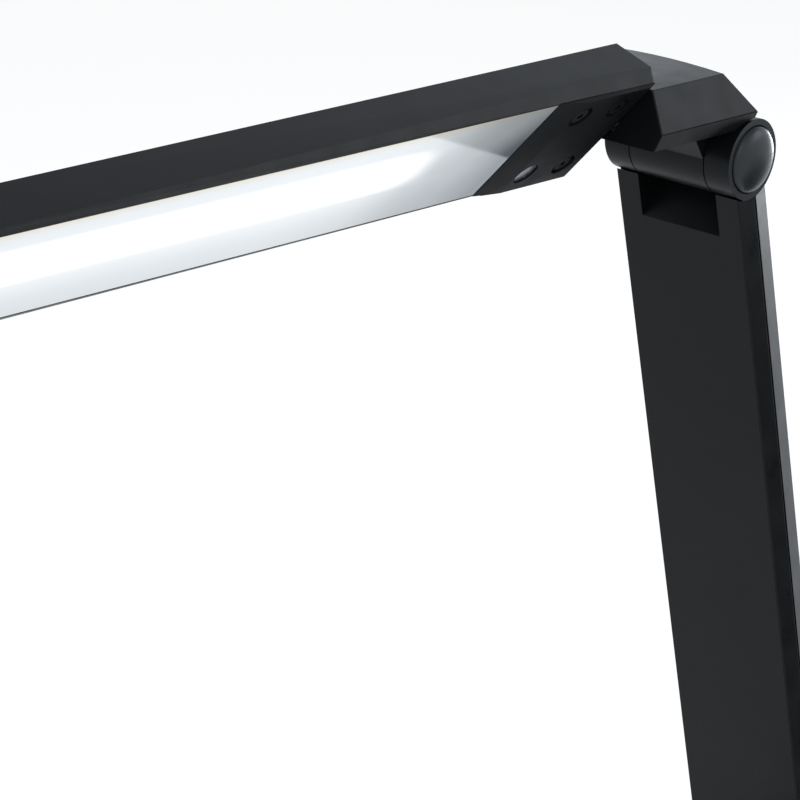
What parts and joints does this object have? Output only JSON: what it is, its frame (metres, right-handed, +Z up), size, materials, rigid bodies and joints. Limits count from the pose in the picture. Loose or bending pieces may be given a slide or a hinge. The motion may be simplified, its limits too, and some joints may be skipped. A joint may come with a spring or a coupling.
{
  "type": "folding desk lamp",
  "caption": "Desk lamp with a weighted base, a flat two-shell arm, a hinged neck and a long six-sided head that turns about its length over a lit diffuser.",
  "frame": {"origin": "middle of the underside of the grip pad, on the table", "axes": "+Z up, -Y to the front where the head points, +X to the right seen from the front"},
  "size_m": [0.17, 0.4742, 0.5259],
  "materials": {
    "charcoal": "fine matt moulded",
    "black_plastic": "matt",
    "gloss_black": "gloss",
    "pad": "matt",
    "iron": "raw",
    "steel": "zinc plated",
    "dark_steel": "blackened",
    "bright": "polished",
    "aluminium": "extruded",
    "brass": "turned",
    "board": "solder mask",
    "led": "phosphor on white board",
    "diffuser": "opal, lit from above",
    "clear": "clear acrylic",
    "white": "matt white film",
    "cable": "matt"
  },
  "bodies": {
    "base": {"grip_pad": "pad", "base_floor": "charcoal", "base_weight": "iron", "base_cover": "charcoal", "touch_panel": "gloss_black", "control_board": "board", "board_spacers": "brass", "power_inlet": "black_plastic", "floor_screws": "steel", "hinge_post": "charcoal", "post_screws": "steel"},
    "arm": {"lower_yoke": "charcoal", "lower_shaft": "steel", "lower_springs": "steel", "lower_nut": "steel", "lower_caps": "charcoal", "arm_front_shell": "charcoal", "arm_rear_shell": "charcoal", "arm_beam": "aluminium", "arm_cable": "cable", "arm_screws": "steel", "upper_yoke": "charcoal", "upper_shaft": "steel", "upper_springs": "steel", "upper_nut": "steel", "upper_caps": "charcoal"},
    "neck": {"neck_lower_shell": "charcoal", "neck_upper_shell": "charcoal", "neck_end_plate": "black_plastic", "neck_bracket": "steel", "swivel_bush": "brass"},
    "head": {"head_housing": "charcoal", "head_tip": "charcoal", "tail_cover": "charcoal", "tail_screws": "dark_steel", "tail_plug": "bright", "diffuser": "diffuser", "light_guide": "clear", "reflector": "white", "led_strips": "led", "heat_spreader": "aluminium", "driver_board": "board", "head_block": "black_plastic", "swivel_spindle": "steel", "swivel_washer": "steel", "swivel_nut": "steel", "stop_pin": "steel"}
  },
  "joints": [
    {"name": "arm_lean", "type": "hinge", "parent": "base", "child": "arm", "pos_m": [0, 0.058, 0.05], "axis": [1, 0, 0], "range_deg": [-32.2, 25.8]},
    {"name": "neck_tilt", "type": "hinge", "parent": "arm", "child": "neck", "pos_m": [0, -0.02759, 0.44585], "axis": [-1, 0, 0], "range_deg": [-92.8, 41.2]},
    {"name": "head_turn", "type": "hinge", "parent": "neck", "child": "head", "pos_m": [0, -0.07778, 0.47139], "axis": [0, -0.9934, 0.1149], "range_deg": [-49.7, 40.3]}
  ]
}
